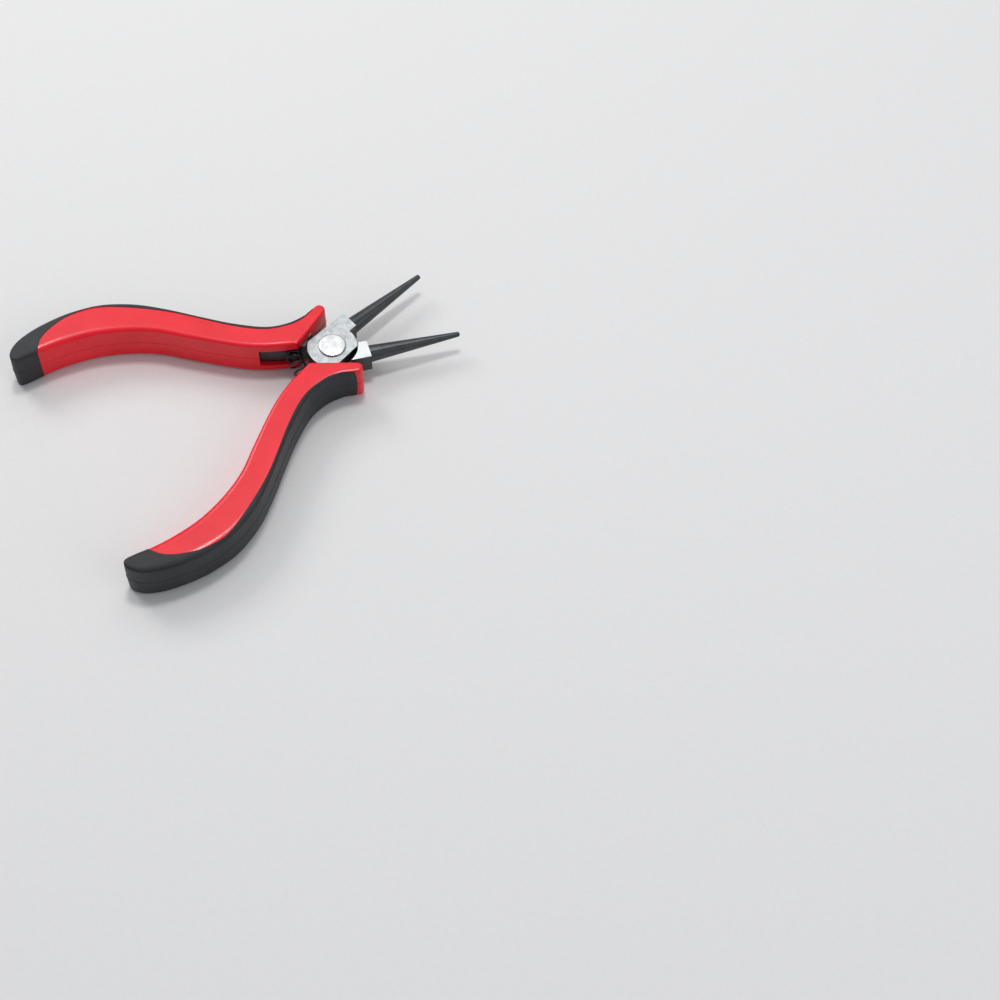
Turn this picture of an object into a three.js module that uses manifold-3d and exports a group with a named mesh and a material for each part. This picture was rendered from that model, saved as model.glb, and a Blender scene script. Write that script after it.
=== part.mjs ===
// Round nose pliers for jewellery work: two identical forged levers lapped on one rivet,
// a return coil between their tangs, and a grip of two plastics moulded on each tang.
// Millimetres. +Y points to the jaws, +Z is the pivot's axis, and the origin is the centre
// of the lower rivet head's flat face. The pliers stand open, as their spring holds them.
// Each half is drawn about its own middle plane with its handle on +X and its jaw on -X;
// the other half is the same half turned over about Y.
import * as THREE from 'three';
import { mergeVertices } from 'three/addons/utils/BufferGeometryUtils.js';
import Module from 'manifold-3d';

const wasm = await Module();
wasm.setup();

// Joint
const JOINT_THICKNESS = 6.4;
const LAP_GAP = 0.1;
const BOSS_RADIUS = 7.2;
const POCKET_RADIUS = 7.55;
const RIVET_HEAD_RADIUS = 3.95;
const RIVET_HEAD_RAISE = 0.6;
const RIVET_HEAD_CHAMFER = 0.2;
const RIVET_SHANK_RADIUS = 2.2;
const RUNNING_GAP = 0.1;
const MIDDLE_HEIGHT = JOINT_THICKNESS / 2 + RIVET_HEAD_RAISE;

// Jaw block and cone
const JAW_FACE_OUTER = [-8.75, 8.25];
const JAW_FACE_INNER = [-3.26, 9.52];
const JAW_FOOT = [-5.63, 8.97];
const JAW_TIP = [-12.2, 35.45];
const JAW_FOOT_RADIUS = 2.5;
const JAW_TIP_RADIUS = 0.75;
const JAW_SIDES = 28;
const JAW_ROOT_DEPTH = 1;

// Flat side of the boss below the jaw block, and the flat cut beside the other lever's shoulder
const BOSS_SIDE_FOOT = [-4.85, -5.3];
const FLAT_CUT_TOP = [3.53, 6.27];
const FLAT_CUT_FOOT = [7.05, -3.3];

// Tang: a bar along the middle of the grip
const TANG_WIDTH = 4.7;
const TANG_MOUTH = [3.5, -6.29];
const TANG_ROOT = [2.6, 1.2];
const TANG_LINE = [
  [7.25, -8.8], [10.6, -16.05], [15.7, -23.6], [23.3, -31.9], [30.7, -39.9], [36.5, -48.3], [39.4, -55.5],
];

// Return spring, wound along an arc about the pivot, and the post that holds each end
const SPRING_ARC_RADIUS = 11.2;
const SPRING_HALF_ANGLE = THREE.MathUtils.degToRad(25.3);
const SPRING_COIL_RADIUS = 2.15;
const SPRING_WIRE_RADIUS = 0.28;
const SPRING_TURNS = 5;
const POST_BEARING = THREE.MathUtils.degToRad(27.5);
const POST_RADIUS = 1.4;
const POST_HEIGHT = 1.5;
const POST_CHAMFER = 0.3;
const POST_SHANK_RADIUS = 0.9;
const POST_SHANK_DEPTH = 2.4;

// Grips
const GRIP_THICKNESS = 13;
const GRIP_EDGE_ROUND = 1.2;
const FIT_GAP = 0.3;
const NOTCH_LENGTH = 10.2;
const GUARD_TIP = [11.8, 2];
const GUARD_TIP_RADIUS = 1.8;
const GRIP_EDGE = [
  [3.6, -9.3], [7.2, -17.8], [12, -25.2], [20.8, -35.4], [27.3, -42.7], [31.9, -50.5], [35.2, -59.3],
  [36.6, -68], [37, -74.6], [37, -79], [37.4, -82], [39, -83], [41.4, -82], [43.8, -79], [45.6, -73.5],
  [46.4, -66.5], [46, -59.5], [44.1, -51.8], [39.5, -43.5], [33.4, -36.3], [26.1, -28.9], [19.8, -22.2],
  [14, -14.4], [12.05, -8], [12.15, -2.5],
];
const SEAM_LINE = [
  [15.8, 4.2], [13.3, 1], [11.6, -2.1], [10.9, -5], [11.05, -8.6], [13, -15.1], [18.9, -23], [32.5, -37.1],
  [42.8, -52.3], [44.7, -60.5], [43.6, -67.3], [40.8, -72.8], [36, -76],
];
const CURVE_STEPS = 3;

const RED_PLASTIC = { color: 0xe0101c, roughness: 0.42, metalness: 0 };
const BLACK_RUBBER = { color: 0x1b1c1f, roughness: 0.75, metalness: 0 };
const FORGED_STEEL = { color: 0xb9bfc1, roughness: 0.38, metalness: 1 };
const POLISHED_STEEL = { color: 0xe4e6e8, roughness: 0.2, metalness: 1 };
const BLACK_WIRE = { color: 0x2a2b2e, roughness: 0.4, metalness: 1 };

function vector(point) {
  return new THREE.Vector2(point[0], point[1]);
}

function smooth(points) {
  return new THREE.SplineCurve(points.map(vector)).getPoints((points.length - 1) * CURVE_STEPS);
}

// A line of points moved sideways, to the left of its own direction
function moved(points, distance) {
  return points.map((point, i) => {
    const before = points[Math.max(i - 1, 0)];
    const after = points[Math.min(i + 1, points.length - 1)];
    const along = after.clone().sub(before).normalize();
    return new THREE.Vector2(point.x - along.y * distance, point.y + along.x * distance);
  });
}

// Bearings are angles from +Y towards +X
function bearing(point) {
  return Math.atan2(point[0], point[1]);
}

function arc(centre, radius, from, to, steps) {
  return Array.from({ length: steps + 1 }, (_, i) => {
    const angle = from + (to - from) * i / steps;
    return new THREE.Vector2(centre[0] + radius * Math.sin(angle), centre[1] + radius * Math.cos(angle));
  });
}

function toSolid(geometry) {
  const bare = geometry.clone();
  bare.deleteAttribute('normal');
  bare.deleteAttribute('uv');
  const welded = mergeVertices(bare, 1e-5);
  return new wasm.Manifold(new wasm.Mesh({
    numProp: 3,
    vertProperties: new Float32Array(welded.attributes.position.array),
    triVerts: new Uint32Array(welded.index.array),
  }));
}

function toGeometry(solid) {
  const mesh = solid.getMesh();
  const geometry = new THREE.BufferGeometry();
  geometry.setAttribute('position', new THREE.BufferAttribute(mesh.vertProperties, 3));
  geometry.setIndex(new THREE.BufferAttribute(mesh.triVerts, 1));
  geometry.computeVertexNormals();
  return geometry;
}

function slab(outline, halfHeight) {
  const geometry = new THREE.ExtrudeGeometry(new THREE.Shape(outline), {
    depth: 2 * halfHeight,
    bevelEnabled: false,
  });
  geometry.translate(0, 0, -halfHeight);
  return toSolid(geometry);
}

function drum(radius, bottom, top) {
  const geometry = new THREE.CylinderGeometry(radius, radius, top - bottom, 48);
  geometry.rotateX(Math.PI / 2);
  geometry.translate(0, 0, (top + bottom) / 2);
  return toSolid(geometry);
}

function turned(profile, sides) {
  return new THREE.LatheGeometry(profile.map(vector), sides);
}

// The lever's plan: jaw block, boss with its flat cut, then the tang out and back
function leverOutline() {
  const middle = smooth(TANG_LINE);
  return [
    vector(JAW_FACE_OUTER),
    vector(JAW_FACE_INNER),
    ...arc([0, 0], BOSS_RADIUS, bearing(JAW_FACE_INNER), bearing(FLAT_CUT_TOP), 8),
    vector(FLAT_CUT_FOOT),
    ...moved(middle, TANG_WIDTH / 2),
    ...moved(middle, -TANG_WIDTH / 2).reverse(),
    ...arc([0, 0], BOSS_RADIUS, bearing(TANG_MOUTH), bearing(BOSS_SIDE_FOOT) + 2 * Math.PI, 12),
  ];
}

function jawCone() {
  const foot = new THREE.Vector3(...JAW_FOOT, 0);
  const along = new THREE.Vector3(...JAW_TIP, 0).sub(foot);
  const length = along.length();
  const geometry = turned([
    [0, -JAW_ROOT_DEPTH],
    [JAW_FOOT_RADIUS, -JAW_ROOT_DEPTH],
    [JAW_FOOT_RADIUS, 0],
    [JAW_TIP_RADIUS, length - JAW_TIP_RADIUS / 2],
    [JAW_TIP_RADIUS / 2, length],
    [0, length],
  ], JAW_SIDES);
  const yAxis = new THREE.Vector3(0, 1, 0);
  geometry.applyQuaternion(new THREE.Quaternion().setFromUnitVectors(yAxis, along.normalize()));
  geometry.translate(foot.x, foot.y, 0);
  return toSolid(geometry);
}

// A headed post in the tang's inner edge, pointing along the spring's arc
function springPost(growth) {
  const geometry = turned([
    [0, -POST_SHANK_DEPTH - growth],
    [POST_SHANK_RADIUS + growth, -POST_SHANK_DEPTH - growth],
    [POST_SHANK_RADIUS + growth, RUNNING_GAP],
    [POST_RADIUS, RUNNING_GAP],
    [POST_RADIUS, POST_HEIGHT - POST_CHAMFER],
    [POST_RADIUS - POST_CHAMFER, POST_HEIGHT],
    [0, POST_HEIGHT],
  ], 20);
  geometry.rotateZ(Math.PI / 2 + POST_BEARING);
  geometry.translate(
    SPRING_ARC_RADIUS * Math.sin(POST_BEARING),
    -SPRING_ARC_RADIUS * Math.cos(POST_BEARING),
    0,
  );
  return geometry;
}

// The boss carries only its upper half; the pocket below it takes the other lever's boss
function lever() {
  const half = JOINT_THICKNESS / 2;
  const pocket = drum(POCKET_RADIUS, -half - 1, LAP_GAP / 2);
  const rivetHole = drum(RIVET_SHANK_RADIUS + RUNNING_GAP, -half - 1, half + 1);
  const postHole = toSolid(springPost(RUNNING_GAP));
  return slab(leverOutline(), half).add(jawCone()).subtract(pocket).subtract(rivetHole).subtract(postHole);
}

// Inner edge, tail and outer edge in one curve, then the guard's round tip and the flat front
function wholeGrip() {
  const outline = [
    ...smooth(GRIP_EDGE),
    ...arc(GUARD_TIP, GUARD_TIP_RADIUS, 1.9, -1.03, 6),
  ];
  const geometry = new THREE.ExtrudeGeometry(new THREE.Shape(outline), {
    depth: GRIP_THICKNESS - 2 * GRIP_EDGE_ROUND,
    bevelSize: GRIP_EDGE_ROUND,
    bevelThickness: GRIP_EDGE_ROUND,
    bevelOffset: -GRIP_EDGE_ROUND,
    bevelSegments: 2,
  });
  geometry.translate(0, 0, GRIP_EDGE_ROUND - GRIP_THICKNESS / 2);
  return toSolid(geometry);
}

// Everything outside the seam between the two plastics, the seam moved outwards by a distance
function outsideSeam(distance) {
  const far = 120;
  const seam = moved(smooth(SEAM_LINE), distance);
  const start = seam[0];
  const end = seam[seam.length - 1];
  const outline = [
    ...seam,
    new THREE.Vector2(end.x, -far),
    new THREE.Vector2(far, -far),
    new THREE.Vector2(far, start.y),
  ];
  return slab(outline, GRIP_THICKNESS);
}

// Room for the tang, open at the front and, beside the spring, on the inner side
function tangRoom() {
  const halfWidth = TANG_WIDTH / 2 + FIT_GAP;
  const middle = smooth([TANG_ROOT, ...TANG_LINE]);
  const last = middle[middle.length - 1];
  const beforeLast = middle[middle.length - 2];
  middle.push(last.clone().sub(beforeLast).setLength(FIT_GAP).add(last));
  const sleeve = [...moved(middle, halfWidth), ...moved(middle, -halfWidth).reverse()];
  const start = vector(TANG_LINE[0]);
  const along = vector(TANG_LINE[1]).sub(start).normalize();
  const end = along.clone().multiplyScalar(NOTCH_LENGTH).add(start);
  const inward = new THREE.Vector2(along.y, -along.x).multiplyScalar(3 * TANG_WIDTH);
  const notch = [vector(TANG_ROOT), end, end.clone().add(inward), vector(TANG_ROOT).add(inward)];
  const halfHeight = JOINT_THICKNESS / 2 + FIT_GAP;
  return slab(sleeve, halfHeight).add(slab(notch, halfHeight));
}

function rivetGeometry() {
  const bottom = RIVET_HEAD_RAISE - RUNNING_GAP;
  const top = RIVET_HEAD_RAISE + JOINT_THICKNESS + RUNNING_GAP;
  const end = 2 * MIDDLE_HEIGHT;
  const rim = RIVET_HEAD_RADIUS - RIVET_HEAD_CHAMFER;
  const geometry = turned([
    [0, 0],
    [rim, 0],
    [RIVET_HEAD_RADIUS, RIVET_HEAD_CHAMFER],
    [RIVET_HEAD_RADIUS, bottom],
    [RIVET_SHANK_RADIUS, bottom],
    [RIVET_SHANK_RADIUS, top],
    [RIVET_HEAD_RADIUS, top],
    [RIVET_HEAD_RADIUS, end - RIVET_HEAD_CHAMFER],
    [rim, end],
    [0, end],
  ], 40);
  return geometry.rotateX(Math.PI / 2);
}

class CoilOnArc extends THREE.Curve {
  getPoint(t, target = new THREE.Vector3()) {
    const along = SPRING_HALF_ANGLE * (2 * t - 1);
    const turn = 2 * Math.PI * SPRING_TURNS * t;
    const reach = SPRING_ARC_RADIUS + SPRING_COIL_RADIUS * Math.cos(turn);
    return target.set(
      reach * Math.sin(along),
      -reach * Math.cos(along),
      SPRING_COIL_RADIUS * Math.sin(turn),
    );
  }
}

function springGeometry() {
  const wire = new THREE.Shape(arc([0, 0], SPRING_WIRE_RADIUS, 0, 2 * Math.PI * 5 / 6, 5));
  return new THREE.ExtrudeGeometry(wire, {
    steps: SPRING_TURNS * 14,
    extrudePath: new CoilOnArc(),
    bevelEnabled: false,
  });
}

function piece(name, geometry, finish) {
  const mesh = new THREE.Mesh(geometry, new THREE.MeshStandardMaterial(finish));
  mesh.name = name;
  return mesh;
}

function half(side) {
  const grip = wholeGrip();
  const body = grip.subtract(outsideSeam(-FIT_GAP / 2)).subtract(tangRoom());
  const outer = grip.intersect(outsideSeam(FIT_GAP / 2));
  const group = new THREE.Group();
  group.add(
    piece(`${side}_lever`, toGeometry(lever()), FORGED_STEEL),
    piece(`${side}_spring_post`, springPost(0), FORGED_STEEL),
    piece(`${side}_grip_body`, toGeometry(body), RED_PLASTIC),
    piece(`${side}_grip_outer`, toGeometry(outer), BLACK_RUBBER),
  );
  group.position.z = MIDDLE_HEIGHT;
  return group;
}

const rightHalf = half('right');
const leftHalf = half('left');
leftHalf.rotation.y = Math.PI;

const spring = piece('return_spring', springGeometry(), BLACK_WIRE);
spring.position.z = MIDDLE_HEIGHT;

const pliers = new THREE.Group();
pliers.add(rightHalf, leftHalf, piece('pivot_rivet', rivetGeometry(), POLISHED_STEEL), spring);

export default pliers;
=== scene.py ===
"""Round nose pliers: the looks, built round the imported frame.

Shapes are drawn in millimetres about the tool's middle plane, for the half whose handle is on +X.
The other half is the same half turned over about Y. Each piece is then put into the row frame.
"""
import math

import bmesh
import bpy
from mathutils import Matrix, Vector


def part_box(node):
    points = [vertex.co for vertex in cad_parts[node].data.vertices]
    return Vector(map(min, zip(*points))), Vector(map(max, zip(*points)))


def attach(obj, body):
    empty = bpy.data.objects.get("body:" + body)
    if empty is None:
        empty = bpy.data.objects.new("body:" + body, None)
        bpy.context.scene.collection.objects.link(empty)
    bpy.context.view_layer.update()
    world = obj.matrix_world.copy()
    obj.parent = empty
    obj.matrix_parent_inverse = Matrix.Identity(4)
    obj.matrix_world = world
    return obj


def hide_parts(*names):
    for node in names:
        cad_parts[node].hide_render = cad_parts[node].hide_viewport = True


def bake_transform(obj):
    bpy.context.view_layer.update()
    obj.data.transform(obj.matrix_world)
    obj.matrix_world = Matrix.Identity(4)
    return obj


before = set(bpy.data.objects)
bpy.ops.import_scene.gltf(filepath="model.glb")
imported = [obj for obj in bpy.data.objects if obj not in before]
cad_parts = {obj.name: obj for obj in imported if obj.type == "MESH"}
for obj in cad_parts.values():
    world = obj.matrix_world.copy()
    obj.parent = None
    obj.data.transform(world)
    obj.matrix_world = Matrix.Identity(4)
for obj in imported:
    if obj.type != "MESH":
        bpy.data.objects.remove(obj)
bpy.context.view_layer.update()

MM = 0.001

# Heights come from the frame
RIVET_LOW, RIVET_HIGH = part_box("pivot_rivet")
LEVER_LOW, LEVER_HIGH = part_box("right_lever")
GRIP_LOW, GRIP_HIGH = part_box("right_grip_body")
MIDDLE_HEIGHT = (RIVET_LOW.z + RIVET_HIGH.z) / 2 / MM
LEVER_HALF = (LEVER_HIGH.z - LEVER_LOW.z) / 2 / MM
GRIP_HALF = (GRIP_HIGH.z - GRIP_LOW.z) / 2 / MM
RIVET_HALF = (RIVET_HIGH.z - RIVET_LOW.z) / 2 / MM

# Joint
LAP_GAP = 0.1
BOSS_RADIUS = 7.2
POCKET_RADIUS = 7.55
RIVET_HEAD_RADIUS = 3.95
RIVET_SHANK_RADIUS = 2.2
RUNNING_GAP = 0.1
EDGE_BREAK = 0.2

# Jaw block and cone
JAW_FACE_OUTER = (-8.75, 8.25)
JAW_FACE_INNER = (-3.26, 9.52)
JAW_FOOT = (-5.63, 8.97)
JAW_TIP = (-12.2, 35.45)
JAW_FOOT_RADIUS = 2.5
JAW_TIP_RADIUS = 0.75
JAW_FILLET = 0.1
BOSS_SIDE_FOOT = (-4.85, -5.3)
FLAT_CUT_TOP = (3.53, 6.27)
FLAT_CUT_FOOT = (7.05, -3.3)

# Tang
TANG_WIDTH = 4.7
TANG_MOUTH = (3.5, -6.29)
TANG_ROOT = (2.6, 1.2)
TANG_LINE = [
    (7.25, -8.8), (10.6, -16.05), (15.7, -23.6), (23.3, -31.9), (30.7, -39.9), (36.5, -48.3),
    (39.4, -55.5),
]
TANG_FIT = 0.1
ROOT_SET_OUT = 0.3
NOTCH_LENGTH = 10.2
NOTCH_HALF = 3.35

# Spring and its posts
SPRING_ARC_RADIUS = 11.2
SPRING_HALF_ANGLE = math.radians(25.3)
SPRING_COIL_RADIUS = 2.15
SPRING_WIRE_RADIUS = 0.28
SPRING_TURNS = 5
SPRING_CROWDING = 0.42
POST_BEARING = math.radians(27.5)
POST_RADIUS = 1.4
POST_HEIGHT = 1.5
POST_SHANK_RADIUS = 0.9
POST_DEPTH = 2.3

# Grips: plan, then how the side walls and edges are drawn in from it
GRIP_EDGE = [
    (3.6, -9.3), (7.2, -17.8), (12, -25.2), (20.8, -35.4), (27.3, -42.7), (31.9, -50.5),
    (35.2, -59.3), (36.6, -68), (37, -74.6), (37, -79), (37.4, -82), (39, -83), (41.4, -82),
    (43.8, -79), (45.6, -73.5), (46.4, -66.5), (46, -59.5), (44.1, -51.8), (39.5, -43.5),
    (33.4, -36.3), (26.1, -28.9), (19.8, -22.2), (14, -14.4), (12.05, -8), (12.15, -2.5),
]
GUARD_TIP = (11.8, 2)
GUARD_TIP_RADIUS = 1.8
SEAM_LINE = [
    (15.8, 4.2), (13.3, 1), (11.6, -2.1), (10.9, -5), (11.05, -8.6), (13, -15.1), (18.9, -23),
    (32.5, -37.1), (42.8, -52.3), (44.7, -60.5), (43.6, -67.3), (40.8, -72.8), (36, -76),
]
SEAM_GAP = 0.08
RED_SET_BACK = 0.08
FRONT_STEPS = 12
FRONT_RADIUS = 0.7
EDGE_RADIUS = 1.5
TAIL_EDGE_RADIUS = 3
EDGE_FLATNESS = 0.48
RADIUS_FIT = 0.62
WALL_BULGE = 0.12
PARTING_RIDGE = 0.11
FRONT_HALF = 6.1
THICKENING = (GRIP_HALF - FRONT_HALF) / 83


# ---------------------------------------------------------------- plan drawing

def smooth(points, steps):
    """The same spline that the CAD outlines use, with more points along it."""
    out = []
    last = len(points) - 1
    for i in range(last):
        p0, p1 = points[max(i - 1, 0)], points[i]
        p2, p3 = points[i + 1], points[min(i + 2, last)]
        for k in range(steps):
            t = k / steps
            out.append(tuple(
                0.5 * (2 * b + (c - a) * t + (2 * a - 5 * b + 4 * c - d) * t * t
                       + (3 * b - a - 3 * c + d) * t ** 3)
                for a, b, c, d in zip(p0, p1, p2, p3)
            ))
    out.append(tuple(points[-1]))
    return out


def moved(points, distance):
    """A line of points moved to the left of its own direction."""
    out = []
    for i, p in enumerate(points):
        before, after = points[max(i - 1, 0)], points[min(i + 1, len(points) - 1)]
        along = Vector((after[0] - before[0], after[1] - before[1])).normalized()
        out.append((p[0] - along.y * distance, p[1] + along.x * distance))
    return out


def bearing(point):
    return math.atan2(point[0], point[1])


def arc(centre, radius, start, end, steps):
    angles = [start + (end - start) * i / steps for i in range(steps + 1)]
    return [(centre[0] + radius * math.sin(a), centre[1] + radius * math.cos(a)) for a in angles]


def straight(start, end, steps):
    """Points strictly between two ends."""
    return [
        tuple(a + (b - a) * i / steps for a, b in zip(start, end)) for i in range(1, steps)
    ]


# ---------------------------------------------------------------- mesh helpers

def new_object(name, bm):
    bmesh.ops.recalc_face_normals(bm, faces=bm.faces)
    bmesh.ops.triangulate(bm, faces=[f for f in bm.faces if len(f.verts) > 4])
    mesh = bpy.data.meshes.new(name)
    bm.to_mesh(mesh)
    bm.free()
    obj = bpy.data.objects.new(name, mesh)
    bpy.context.scene.collection.objects.link(obj)
    return obj


def apply_modifiers(obj):
    graph = bpy.context.evaluated_depsgraph_get()
    mesh = bpy.data.meshes.new_from_object(obj.evaluated_get(graph))
    mesh.name = obj.name
    old = obj.data
    obj.modifiers.clear()
    obj.data = mesh
    bpy.data.meshes.remove(old)


def combine(obj, other, operation):
    modifier = obj.modifiers.new("combine", "BOOLEAN")
    modifier.operation = operation
    modifier.solver = "MANIFOLD"
    modifier.object = other
    apply_modifiers(obj)
    bpy.data.objects.remove(other)


def slab(name, outline, low, high):
    bm = bmesh.new()
    bottom = [bm.verts.new((x, y, low)) for x, y in outline]
    top = [bm.verts.new((x, y, high)) for x, y in outline]
    bm.faces.new(bottom)
    bm.faces.new(top)
    for i in range(len(outline)):
        j = (i + 1) % len(outline)
        bm.faces.new((bottom[i], bottom[j], top[j], top[i]))
    return new_object(name, bm)


def lathe(name, profile, sides, matrix):
    """Turns a profile of (radius, height) about its own Z. Ends with radius 0 close on one point."""
    bm = bmesh.new()
    rings = []
    for radius, height in profile:
        if radius == 0:
            rings.append([bm.verts.new((0, 0, height))] * sides)
            continue
        angles = [2 * math.pi * i / sides for i in range(sides)]
        points = [(radius * math.cos(a), radius * math.sin(a), height) for a in angles]
        rings.append([bm.verts.new(point) for point in points])
    for lower, upper in zip(rings, rings[1:]):
        for i in range(sides):
            j = (i + 1) % sides
            corners = [lower[i], lower[j], upper[j], upper[i]]
            face = []
            for v in corners:
                if v not in face:
                    face.append(v)
            bm.faces.new(face)
    bm.transform(matrix)
    return new_object(name, bm)


def aimed(origin, direction):
    """Puts a lathe's Z along a direction in the middle plane."""
    turn = Vector((0, 0, 1)).rotation_difference(Vector((*direction, 0)).normalized())
    return Matrix.Translation((*origin, 0)) @ turn.to_matrix().to_4x4()


def break_edges(obj, width, angle):
    bevel = obj.modifiers.new("edges", "BEVEL")
    bevel.width = width
    bevel.segments = 2
    bevel.limit_method = "ANGLE"
    bevel.angle_limit = math.radians(angle)
    bevel.use_clamp_overlap = True
    apply_modifiers(obj)


def shade(obj, angle):
    """Smooth shading that keeps corners above an angle, with flat faces kept flat."""
    mesh = obj.data
    mesh.shade_smooth()
    mesh.set_sharp_from_angle(angle=math.radians(angle))
    weighted = obj.modifiers.new("normals", "WEIGHTED_NORMAL")
    weighted.keep_sharp = True
    weighted.weight = 100


def place(obj, side):
    """From the drawing of one half, in millimetres, to its place in the row frame, in metres."""
    turn = Matrix.Rotation(math.pi, 4, "Y") if side == "left" else Matrix.Identity(4)
    lift = Matrix.Translation((0, 0, MIDDLE_HEIGHT))
    obj.data.transform(Matrix.Scale(MM, 4) @ lift @ turn)
    obj.data.update()
    return obj


def dress(obj, side, node, slot, *materials):
    while len(obj.data.materials) > len(materials):
        obj.data.materials.pop()
    for i, material in enumerate(materials[:len(obj.data.materials)]):
        obj.data.materials[i] = material
    for material in materials[len(obj.data.materials):]:
        obj.data.materials.append(material)
    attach(obj, f"{side}_half")
    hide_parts(node)


# ---------------------------------------------------------------- materials

class Look:
    """A Principled material with small helpers for its procedural nodes."""

    def __init__(self, name, **constants):
        self.material = bpy.data.materials.new(name)
        self.material.use_nodes = True
        self.nodes = self.material.node_tree.nodes
        self.links = self.material.node_tree.links
        self.shader = self.nodes["Principled BSDF"]
        for socket, value in constants.items():
            self.shader.inputs[socket.replace("_", " ")].default_value = value
        self.place = self.nodes.new("ShaderNodeTexCoord").outputs["Object"]

    def stretched(self, scale, turn=0.0):
        mapping = self.nodes.new("ShaderNodeMapping")
        mapping.inputs["Scale"].default_value = scale
        mapping.inputs["Rotation"].default_value = (0, 0, turn)
        self.links.new(self.place, mapping.inputs["Vector"])
        return mapping.outputs["Vector"]

    def noise(self, scale, detail=2.0, roughness=0.5, vector=None):
        node = self.nodes.new("ShaderNodeTexNoise")
        node.inputs["Scale"].default_value = scale
        node.inputs["Detail"].default_value = detail
        node.inputs["Roughness"].default_value = roughness
        self.links.new(vector or self.place, node.inputs["Vector"])
        return node.outputs["Fac"]

    def cells(self, scale, feature="F1"):
        node = self.nodes.new("ShaderNodeTexVoronoi")
        node.feature = feature
        node.inputs["Scale"].default_value = scale
        self.links.new(self.place, node.inputs["Vector"])
        return node.outputs["Distance"]

    def maths(self, operation, first, second):
        node = self.nodes.new("ShaderNodeMath")
        node.operation = operation
        for socket, value in zip(node.inputs, (first, second)):
            if isinstance(value, (int, float)):
                socket.default_value = value
            else:
                self.links.new(value, socket)
        return node.outputs[0]

    def spread(self, source, low, high, to_low, to_high):
        node = self.nodes.new("ShaderNodeMapRange")
        node.inputs["From Min"].default_value = low
        node.inputs["From Max"].default_value = high
        node.inputs["To Min"].default_value = to_low
        node.inputs["To Max"].default_value = to_high
        self.links.new(source, node.inputs["Value"])
        return node.outputs["Result"]

    def colours(self, source, *stops):
        ramp = self.nodes.new("ShaderNodeValToRGB")
        elements = ramp.color_ramp.elements
        while len(elements) < len(stops):
            elements.new(0.5)
        for element, (position, colour) in zip(elements, stops):
            element.position = position
            element.color = (*colour, 1)
        self.links.new(source, ramp.inputs["Fac"])
        return ramp.outputs["Color"]

    def set(self, socket, source):
        self.links.new(source, self.shader.inputs[socket])

    def bump(self, height, distance, strength=1.0, under=None):
        node = self.nodes.new("ShaderNodeBump")
        node.inputs["Distance"].default_value = distance
        node.inputs["Strength"].default_value = strength
        self.links.new(height, node.inputs["Height"])
        if under:
            self.links.new(under, node.inputs["Normal"])
        self.links.new(node.outputs["Normal"], self.shader.inputs["Normal"])
        return node.outputs["Normal"]


def red_plastic():
    look = Look("red_plastic", Specular_IOR_Level=0.38, Coat_Weight=0.2, Coat_Roughness=0.12)
    cloud = look.noise(90, 4)
    look.set("Base Color", look.colours(cloud, (0.3, (0.80, 0.002, 0.012)), (0.7, (0.92, 0.005, 0.024))))
    grain = look.noise(5200, 2)
    smear = look.noise(420, 3)
    look.set("Roughness", look.spread(look.maths("ADD", smear, look.maths("MULTIPLY", grain, 0.35)),
                                      0.4, 0.95, 0.26, 0.4))
    look.bump(look.maths("ADD", look.maths("MULTIPLY", grain, 0.7), smear), 0.00004, 0.35)
    return look.material


def black_plastic():
    look = Look("black_soft_plastic", Specular_IOR_Level=0.5, Sheen_Weight=0.08, Sheen_Roughness=0.5)
    cloud = look.noise(160, 3)
    darker, lighter = (0.007, 0.0078, 0.0095), (0.014, 0.0155, 0.019)
    look.set("Base Color", look.colours(cloud, (0.3, darker), (0.7, lighter)))
    pebbles = look.cells(2300, "SMOOTH_F1")
    grain = look.noise(6400, 2)
    look.set("Roughness", look.spread(grain, 0.3, 0.7, 0.5, 0.68))
    look.bump(look.maths("ADD", pebbles, look.maths("MULTIPLY", grain, 0.5)), 0.0001, 0.6)
    return look.material


def ground_steel():
    look = Look("ground_steel", Metallic=1.0, Anisotropic=0.25)
    scratches = look.noise(1, 3, 0.6, look.stretched((900, 9000, 900), 0.45))
    cloud = look.noise(620, 5, 0.6)
    tone = look.maths("ADD", look.maths("MULTIPLY", scratches, 0.35), look.maths("MULTIPLY", cloud, 0.65))
    look.set("Base Color", look.colours(tone, (0.36, (0.31, 0.33, 0.335)), (0.62, (0.50, 0.52, 0.525))))
    look.set("Roughness", look.spread(look.maths("ADD", scratches, cloud), 0.7, 1.3, 0.34, 0.5))
    look.bump(scratches, 0.00002, 0.35)
    return look.material


# Lighter steel: on the broken edges it is a painted highlight, and it is also the shoulder face's finish.
def highlight_and_shoulder_steel():
    look = Look("highlight_and_shoulder_steel", Metallic=1.0)
    cloud = look.noise(500, 3)
    look.set("Base Color", look.colours(cloud, (0.3, (0.54, 0.56, 0.56)), (0.7, (0.66, 0.67, 0.665))))
    look.set("Roughness", look.spread(cloud, 0.3, 0.7, 0.3, 0.42))
    look.bump(look.noise(1, 3, 0.6, look.stretched((900, 9000, 900), 0.45)), 0.00002, 0.3)
    return look.material


# Dark steel: black oxide on the jaw cone and tang, dark on the side walls, and painted shade where it
# lies on the pocket floor.
def oxide_and_shade_steel():
    look = Look("oxide_and_shade_steel", Metallic=0.85, Specular_IOR_Level=0.5)
    turning = look.noise(1, 3, 0.55, look.stretched((1200, 7000, 1200)))
    cloud = look.noise(300, 4)
    tone = look.maths("ADD", look.maths("MULTIPLY", turning, 0.4), look.maths("MULTIPLY", cloud, 0.6))
    look.set("Base Color", look.colours(tone, (0.3, (0.055, 0.058, 0.062)), (0.7, (0.10, 0.104, 0.108))))
    look.set("Roughness", look.spread(tone, 0.35, 0.65, 0.3, 0.44))
    look.bump(turning, 0.00002, 0.3)
    return look.material


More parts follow.
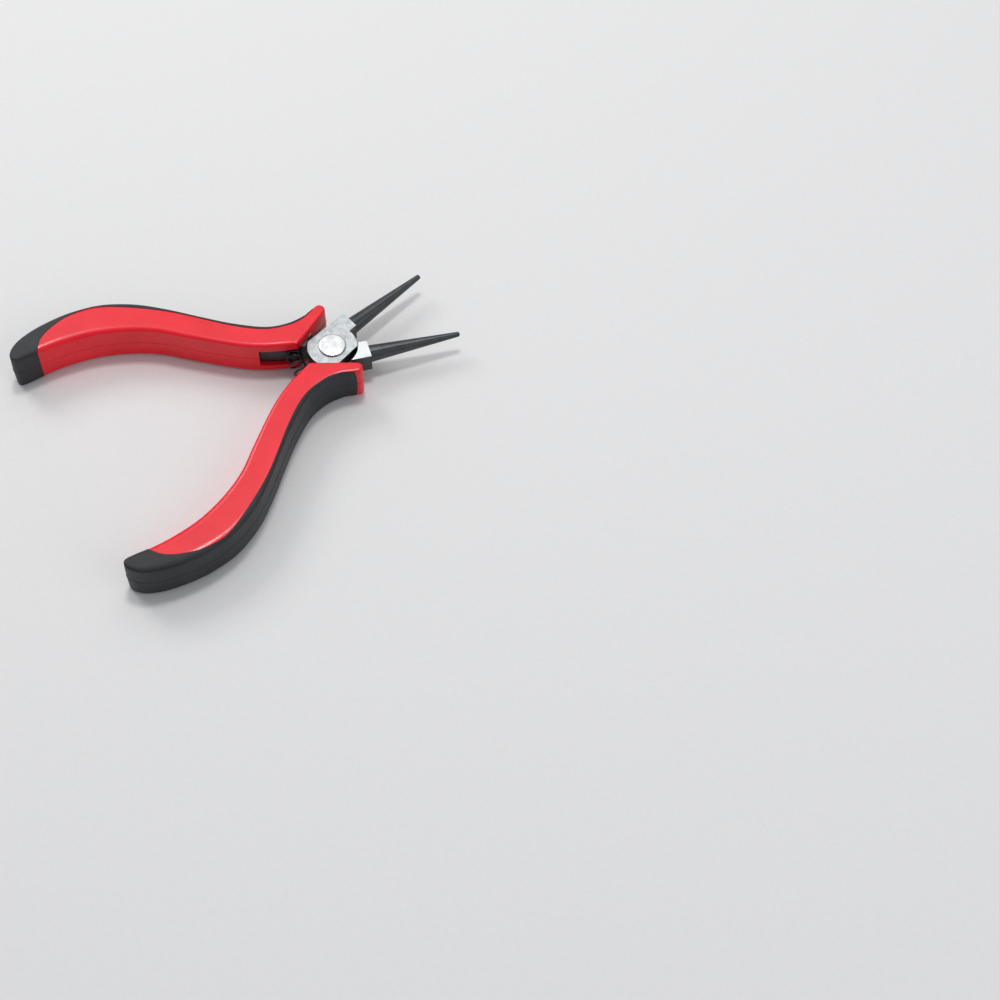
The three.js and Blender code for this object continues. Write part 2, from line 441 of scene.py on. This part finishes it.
def polished_steel():
    look = Look("polished_steel", Metallic=1.0)
    rings = look.nodes.new("ShaderNodeTexWave")
    rings.wave_type = "RINGS"
    rings.rings_direction = "Z"
    rings.inputs["Scale"].default_value = 700
    rings.inputs["Distortion"].default_value = 0.4
    look.links.new(look.place, rings.inputs["Vector"])
    cloud = look.noise(700, 3)
    look.set("Base Color", look.colours(cloud, (0.3, (0.60, 0.615, 0.615)), (0.7, (0.70, 0.71, 0.705))))
    look.set("Roughness", look.spread(cloud, 0.3, 0.7, 0.24, 0.34))
    look.bump(rings.outputs["Fac"], 0.00001, 0.4)
    return look.material


def spring_steel():
    look = Look("spring_steel", Metallic=0.8)
    cloud = look.noise(900, 3)
    look.set("Base Color", look.colours(cloud, (0.3, (0.03, 0.031, 0.034)), (0.7, (0.06, 0.062, 0.066))))
    look.set("Roughness", look.spread(cloud, 0.3, 0.7, 0.24, 0.38))
    look.bump(look.noise(6000, 2), 0.00001, 0.3)
    return look.material


# ---------------------------------------------------------------- levers

def lever_outline():
    middle = smooth(TANG_LINE, 6)
    return [
        JAW_FACE_OUTER,
        JAW_FACE_INNER,
        *arc((0, 0), BOSS_RADIUS, bearing(JAW_FACE_INNER), bearing(FLAT_CUT_TOP), 14),
        FLAT_CUT_FOOT,
        *moved(middle, TANG_WIDTH / 2),
        *reversed(moved(middle, -TANG_WIDTH / 2)),
        *arc((0, 0), BOSS_RADIUS, bearing(TANG_MOUTH), bearing(BOSS_SIDE_FOOT) + 2 * math.pi, 22),
    ]


def jaw_direction():
    return Vector((JAW_TIP[0] - JAW_FOOT[0], JAW_TIP[1] - JAW_FOOT[1]))


def jaw_cone():
    along = jaw_direction()
    length = along.length
    fillet = [
        (JAW_FOOT_RADIUS + JAW_FILLET * (1 - math.sin(a)), JAW_FILLET * (1 - math.cos(a)))
        for a in [math.radians(15 * i) for i in range(7)]
    ]
    tip = [
        (JAW_TIP_RADIUS * math.cos(a), length - JAW_TIP_RADIUS * (0.7 - 0.7 * math.sin(a)))
        for a in [math.radians(12 * i) for i in range(7)]
    ]
    profile = [(0, -1), (fillet[0][0], -1), *fillet, *tip, (0, length)]
    return lathe("jaw", profile, 72, aimed(JAW_FOOT, along))


def post_profile(growth):
    return [
        (0, -POST_DEPTH - growth),
        (POST_SHANK_RADIUS + growth, -POST_DEPTH - growth),
        (POST_SHANK_RADIUS + growth, RUNNING_GAP),
        (POST_RADIUS, RUNNING_GAP),
        (POST_RADIUS, POST_HEIGHT - 0.45),
        (POST_RADIUS - 0.06, POST_HEIGHT - 0.25),
        (POST_RADIUS - 0.2, POST_HEIGHT - 0.08),
        (POST_RADIUS - 0.42, POST_HEIGHT),
        (0, POST_HEIGHT),
    ]


def post_matrix():
    seat = (SPRING_ARC_RADIUS * math.sin(POST_BEARING), -SPRING_ARC_RADIUS * math.cos(POST_BEARING))
    return aimed(seat, (-math.cos(POST_BEARING), -math.sin(POST_BEARING)))


def away_from_boss():
    """Square to the line across the tang's root, pointing along the tang."""
    across = Vector((FLAT_CUT_FOOT[0] - TANG_MOUTH[0], FLAT_CUT_FOOT[1] - TANG_MOUTH[1])).normalized()
    return Vector((across.y, -across.x, 0))


def beyond_root(point):
    """How far a point lies past that line, which sits a little way out along the tang."""
    outward = away_from_boss()
    return outward.dot(point) - outward.dot(Vector((*TANG_MOUTH, 0))) - ROOT_SET_OUT


def part_tang_from_boss(obj):
    """Cuts the faces along the root line, so that the bright finish ends on a straight edge."""
    outward = away_from_boss()
    beyond = beyond_root(Vector((0, 0, 0)))
    bm = bmesh.new()
    bm.from_mesh(obj.data)
    geometry = list(bm.verts) + list(bm.edges) + list(bm.faces)
    bmesh.ops.bisect_plane(bm, geom=geometry, plane_co=-beyond * outward, plane_no=outward)
    bm.to_mesh(obj.data)
    bm.free()


def lever_finish(centre, normal):
    """0 ground face; 1 dark steel: black oxide on the jaw cone and tang, the same dark on the side walls,
    and painted shade on the pocket floor; 2 lighter steel: a painted highlight on the broken edges, and
    also the shoulder face.
    """
    along = jaw_direction().normalized()
    beyond_face = (centre.x - JAW_FOOT[0]) * along.x + (centre.y - JAW_FOOT[1]) * along.y
    on_face = abs(centre.z) > LEVER_HALF - 1.1 * EDGE_BREAK
    # Dark steel past the jaw foot, past the tang root, off the flat faces and on the walls; on the pocket
    # floor it is painted shade.
    if beyond_face > 0.02 or beyond_root(centre) > 0 or not on_face or abs(normal.z) < 0.1:
        return 1
    # Lighter steel on the broken edges is a painted highlight; on the lower flat face it marks the
    # shoulder.
    if abs(normal.z) < 0.95 or centre.z < 0:
        return 2
    return 0


def lever(side, *finishes):
    obj = slab(f"{side}_lever_forging", lever_outline(), -LEVER_HALF, LEVER_HALF)
    deep = LEVER_HALF + 1
    circle = 2 * math.pi
    pocket = slab("pocket", arc((0, 0), POCKET_RADIUS, 0, circle, 96)[:-1], -deep, LAP_GAP / 2)
    combine(obj, pocket, "DIFFERENCE")
    break_edges(obj, EDGE_BREAK, 32)
    combine(obj, jaw_cone(), "UNION")
    hole = slab("hole", arc((0, 0), RIVET_SHANK_RADIUS + RUNNING_GAP, 0, circle, 48)[:-1], -deep, deep)
    combine(obj, hole, "DIFFERENCE")
    combine(obj, lathe("post_hole", post_profile(0.05), 32, post_matrix()), "DIFFERENCE")
    part_tang_from_boss(obj)
    for polygon in obj.data.polygons:
        polygon.material_index = lever_finish(polygon.center, polygon.normal)
    shade(obj, 34)
    place(obj, side)
    dress(obj, side, f"{side}_lever", "forged_steel", *finishes)


def spring_post(side, finish):
    obj = lathe(f"{side}_post_headed", post_profile(0), 32, post_matrix())
    shade(obj, 40)
    place(obj, side)
    dress(obj, side, f"{side}_spring_post", "spring_steel", finish)


def rivet(finish):
    top = RIVET_HALF
    rim = RIVET_HEAD_RADIUS
    under = LEVER_HALF + RUNNING_GAP
    upper = [
        (RIVET_SHANK_RADIUS, under), (rim - 0.06, under), (rim, under + 0.06), (rim, top - 0.3),
        (rim - 0.05, top - 0.17), (rim - 0.16, top - 0.07), (rim - 0.34, top - 0.01),
        (rim - 0.6, top), (rim * 0.5, top), (0, top),
    ]
    lower = [(r, -z) for r, z in reversed(upper)]
    obj = lathe("pivot_rivet_turned", lower + upper, 96, Matrix.Identity(4))
    shade(obj, 40)
    place(obj, "right")
    dress(obj, "left", "pivot_rivet", "polished_steel", finish)


# ---------------------------------------------------------------- grips

def grip_outline():
    inner_and_outer = smooth(GRIP_EDGE, 7)
    guard = arc(GUARD_TIP, GUARD_TIP_RADIUS, 1.9, -1.03, 14)
    back = straight(inner_and_outer[-1], guard[0], 5)
    front = straight(guard[-1], inner_and_outer[0], FRONT_STEPS)
    return inner_and_outer + back + guard + front


def edge_radii(points):
    """The rounding of the grip's edge at each point of its closed outline.

    It grows towards the tail, is crisp at the front, and is never more than a share of the circle
    that touches the outline there from inside.
    """
    count = len(points)
    radii = []
    for i in range(count):
        before, here, after = (Vector(points[(i + k) % count]) for k in (-1, 0, 1))
        along = (after - before).normalized()
        inward = Vector((-along.y, along.x))
        circle = 99.0
        for point in points:
            reach = Vector(point) - here
            if reach.dot(inward) > 1e-3:
                circle = min(circle, reach.length_squared / (2 * reach.dot(inward)))
        share = min(1, max(0, (-here.y - 30) / 40))
        wanted = EDGE_RADIUS + (TAIL_EDGE_RADIUS - EDGE_RADIUS) * share
        radii.append(min(wanted, RADIUS_FIT * circle - WALL_BULGE))
    for i in range(count - FRONT_STEPS, count + 1):
        radii[i % count] = FRONT_RADIUS
    for _ in range(4):
        radii = [(radii[i - 1] + 2 * radii[i] + radii[(i + 1) % count]) / 4 for i in range(count)]
    return radii


def drawn_in(points, distances):
    """The closed outline moved inwards, each point by its own distance."""
    count = len(points)
    out = []
    for i in range(count):
        before, here, after = (Vector(points[(i + k) % count]) for k in (-1, 0, 1))
        first, second = (here - before).normalized(), (after - here).normalized()
        normal = Vector((-first.y - second.y, first.x + second.x)).normalized()
        lean = max(0.75, normal.dot(Vector((-first.y, first.x))))
        out.append(here + normal * (distances[i] / lean))
    return out


def grip_section(radius, half):
    """From the parting line up: (inset, height). A slightly bulging wall, then a round edge."""
    drop = EDGE_FLATNESS * radius
    wall = half - drop
    section = [(-PARTING_RIDGE, 0), (-0.8 * PARTING_RIDGE, 0.1), (0, 0.2)]
    section += [(WALL_BULGE * share * share, wall * share) for share in (0.2, 0.4, 0.6, 0.8)]
    for step in range(9):
        angle = math.pi / 2 * step / 8
        section.append((WALL_BULGE + radius * (1 - math.cos(angle)), wall + drop * math.sin(angle)))
    return section


def whole_grip(name, set_back):
    outline = grip_outline()
    sections = [
        grip_section(radius, FRONT_HALF - THICKENING * y - set_back)
        for radius, (x, y) in zip(edge_radii(outline), outline)
    ]
    bm = bmesh.new()
    rings = []
    last = len(sections[0]) - 1
    for level in range(-last, last + 1):
        points = drawn_in(outline, [section[abs(level)][0] + set_back for section in sections])
        side = 1 if level >= 0 else -1
        heights = [side * section[abs(level)][1] for section in sections]
        if abs(level) == last:
            heights = [side * (FRONT_HALF - THICKENING * point.y - set_back) for point in points]
        rings.append([bm.verts.new((*point, height)) for point, height in zip(points, heights)])
    count = len(outline)
    for lower, upper in zip(rings, rings[1:]):
        for i in range(count):
            j = (i + 1) % count
            bm.faces.new((lower[i], lower[j], upper[j], upper[i]))
    bm.faces.new(rings[0])
    bm.faces.new(rings[-1])
    return new_object(name, bm)


def outside_seam(distance):
    far = 120
    seam = moved(smooth(SEAM_LINE, 8), distance)
    outline = seam + [(seam[-1][0], -far), (far, -far), (far, seam[0][1])]
    return slab("outside_seam", outline, -2 * GRIP_HALF, 2 * GRIP_HALF)


def tang_sleeve():
    middle = smooth([TANG_ROOT, *TANG_LINE], 6)
    width = TANG_WIDTH / 2 + TANG_FIT
    outline = moved(middle, width) + list(reversed(moved(middle, -width)))
    return slab("sleeve", outline, -LEVER_HALF - TANG_FIT, LEVER_HALF + TANG_FIT)


def notch():
    start, second = Vector(TANG_LINE[0]), Vector(TANG_LINE[1])
    along = (second - start).normalized()
    end = start + along * NOTCH_LENGTH
    inward = Vector((along.y, -along.x)) * 3 * TANG_WIDTH
    root = Vector(TANG_ROOT)
    outline = [tuple(p) for p in (root, end, end + inward, root + inward)]
    return slab("notch", outline, -NOTCH_HALF, NOTCH_HALF)


def grip_body(side, finish):
    obj = whole_grip(f"{side}_grip_red", RED_SET_BACK)
    combine(obj, outside_seam(-SEAM_GAP / 2), "DIFFERENCE")
    combine(obj, tang_sleeve(), "DIFFERENCE")
    combine(obj, notch(), "DIFFERENCE")
    shade(obj, 38)
    place(obj, side)
    dress(obj, side, f"{side}_grip_body", "red_plastic", finish)


def grip_outer(side, finish):
    obj = whole_grip(f"{side}_grip_black", 0)
    combine(obj, outside_seam(SEAM_GAP / 2), "INTERSECT")
    shade(obj, 38)
    place(obj, side)
    dress(obj, side, f"{side}_grip_outer", "black_soft_plastic", finish)


# ---------------------------------------------------------------- spring

def spring_point(t):
    """Along the coil from 0 to 1. Its turns lie a little closer near the posts."""
    share = 2 * t - 1
    along = SPRING_HALF_ANGLE * (share + SPRING_CROWDING * math.sin(math.pi * share) / math.pi)
    turn = 2 * math.pi * SPRING_TURNS * t
    reach = SPRING_ARC_RADIUS + SPRING_COIL_RADIUS * math.cos(turn)
    height = SPRING_COIL_RADIUS * math.sin(turn)
    return Vector((reach * math.sin(along), -reach * math.cos(along), height))


def spring(finish):
    steps = SPRING_TURNS * 40
    sides = 12
    bm = bmesh.new()
    rings = []
    for i in range(steps + 1):
        t = i / steps
        here = spring_point(t)
        ahead = (spring_point(t + 1e-4) - spring_point(t - 1e-4)).normalized()
        along = math.atan2(here.x, -here.y)
        centre = Vector((SPRING_ARC_RADIUS * math.sin(along), -SPRING_ARC_RADIUS * math.cos(along), 0))
        out = (here - centre).normalized()
        out = (out - ahead * out.dot(ahead)).normalized()
        across = ahead.cross(out)
        radius = SPRING_WIRE_RADIUS
        angles = [2 * math.pi * k / sides for k in range(sides)]
        points = [here + (out * math.cos(a) + across * math.sin(a)) * radius for a in angles]
        rings.append([bm.verts.new(point) for point in points])
    for lower, upper in zip(rings, rings[1:]):
        for k in range(sides):
            n = (k + 1) % sides
            bm.faces.new((lower[k], lower[n], upper[n], upper[k]))
    bm.faces.new(rings[0])
    bm.faces.new(rings[-1])
    obj = new_object("return_spring_coil", bm)
    shade(obj, 50)
    place(obj, "right")
    obj.data.materials.append(finish)
    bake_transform(obj)
    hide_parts("return_spring")


# ---------------------------------------------------------------- studio

# Name, place, width and power. The softbox stands where the flat steel mirrors it to the camera.
LAMPS = [
    ("softbox", (-0.58, 0.37, 1.1), 1.4, 4.7),
    ("top", (-0.24, 0.15, 1.17), 0.17, 3.8),
    ("key", (-0.9, -0.25, 0.75), 0.45, 4),
    ("fill", (0.75, 0.45, 0.55), 0.7, 1.6),
]
WORLD_STRENGTH = 0.34
CAMERA_PLACE = (315.1, -136.9, 477.1)
CAMERA_RIGHT = (0.5006, 0.8654, 0.0197)
CAMERA_FORWARD = (-0.4455, 0.2771, -0.8514)


def floor():
    bm = bmesh.new()
    side, low = 2.5, GRIP_LOW.z
    corners = ((-side, -side), (side, -side), (side, side), (-side, side))
    bm.faces.new([bm.verts.new((x, y, low)) for x, y in corners])
    obj = new_object("studio_floor", bm)
    look = Look("studio_paper", Roughness=0.8, Specular_IOR_Level=0.2)
    paper = look.noise(800, 4)
    look.set("Base Color", look.colours(paper, (0.3, (0.78, 0.775, 0.765)), (0.7, (0.80, 0.795, 0.785))))
    obj.data.materials.append(look.material)


def lamp(name, location, width, watts):
    """A square soft light in metres, aimed at the joint."""
    light = bpy.data.lights.new(name, "AREA")
    light.shape = "RECTANGLE"
    light.size, light.size_y = width, width
    light.energy = watts
    obj = bpy.data.objects.new(name, light)
    bpy.context.scene.collection.objects.link(obj)
    obj.location = location
    obj.rotation_mode = "QUATERNION"
    obj.rotation_quaternion = (-Vector(location)).to_track_quat("-Z", "Y")


def studio():
    floor()
    for name, location, width, watts in LAMPS:
        lamp(name, location, width, watts)
    world = bpy.data.worlds.new("studio")
    world.use_nodes = True
    background = world.node_tree.nodes["Background"]
    background.inputs["Color"].default_value = (0.9, 0.93, 1.0, 1)
    background.inputs["Strength"].default_value = WORLD_STRENGTH
    bpy.context.scene.world = world
    bpy.context.scene.view_settings.view_transform = "Standard"


def camera():
    data = bpy.data.cameras.new("camera")
    data.lens = 72
    data.sensor_width = 36
    data.clip_start, data.clip_end = 0.02, 10
    obj = bpy.data.objects.new("camera", data)
    bpy.context.scene.collection.objects.link(obj)
    right = Vector(CAMERA_RIGHT).normalized()
    forward = Vector(CAMERA_FORWARD).normalized()
    up = right.cross(forward)
    turn = Matrix((right, up, -forward)).transposed().to_4x4()
    obj.matrix_world = Matrix.Translation(Vector(CAMERA_PLACE) * MM) @ turn
    bpy.context.scene.camera = obj


# ---------------------------------------------------------------- build

steel, dark, bright = ground_steel(), oxide_and_shade_steel(), highlight_and_shoulder_steel()
polished, wire = polished_steel(), spring_steel()
red, black = red_plastic(), black_plastic()
for side in ("right", "left"):
    lever(side, steel, dark, bright)
    spring_post(side, wire)
    grip_body(side, red)
    grip_outer(side, black)
rivet(polished)
spring(wire)
studio()
camera()

bpy.context.view_layer.update()
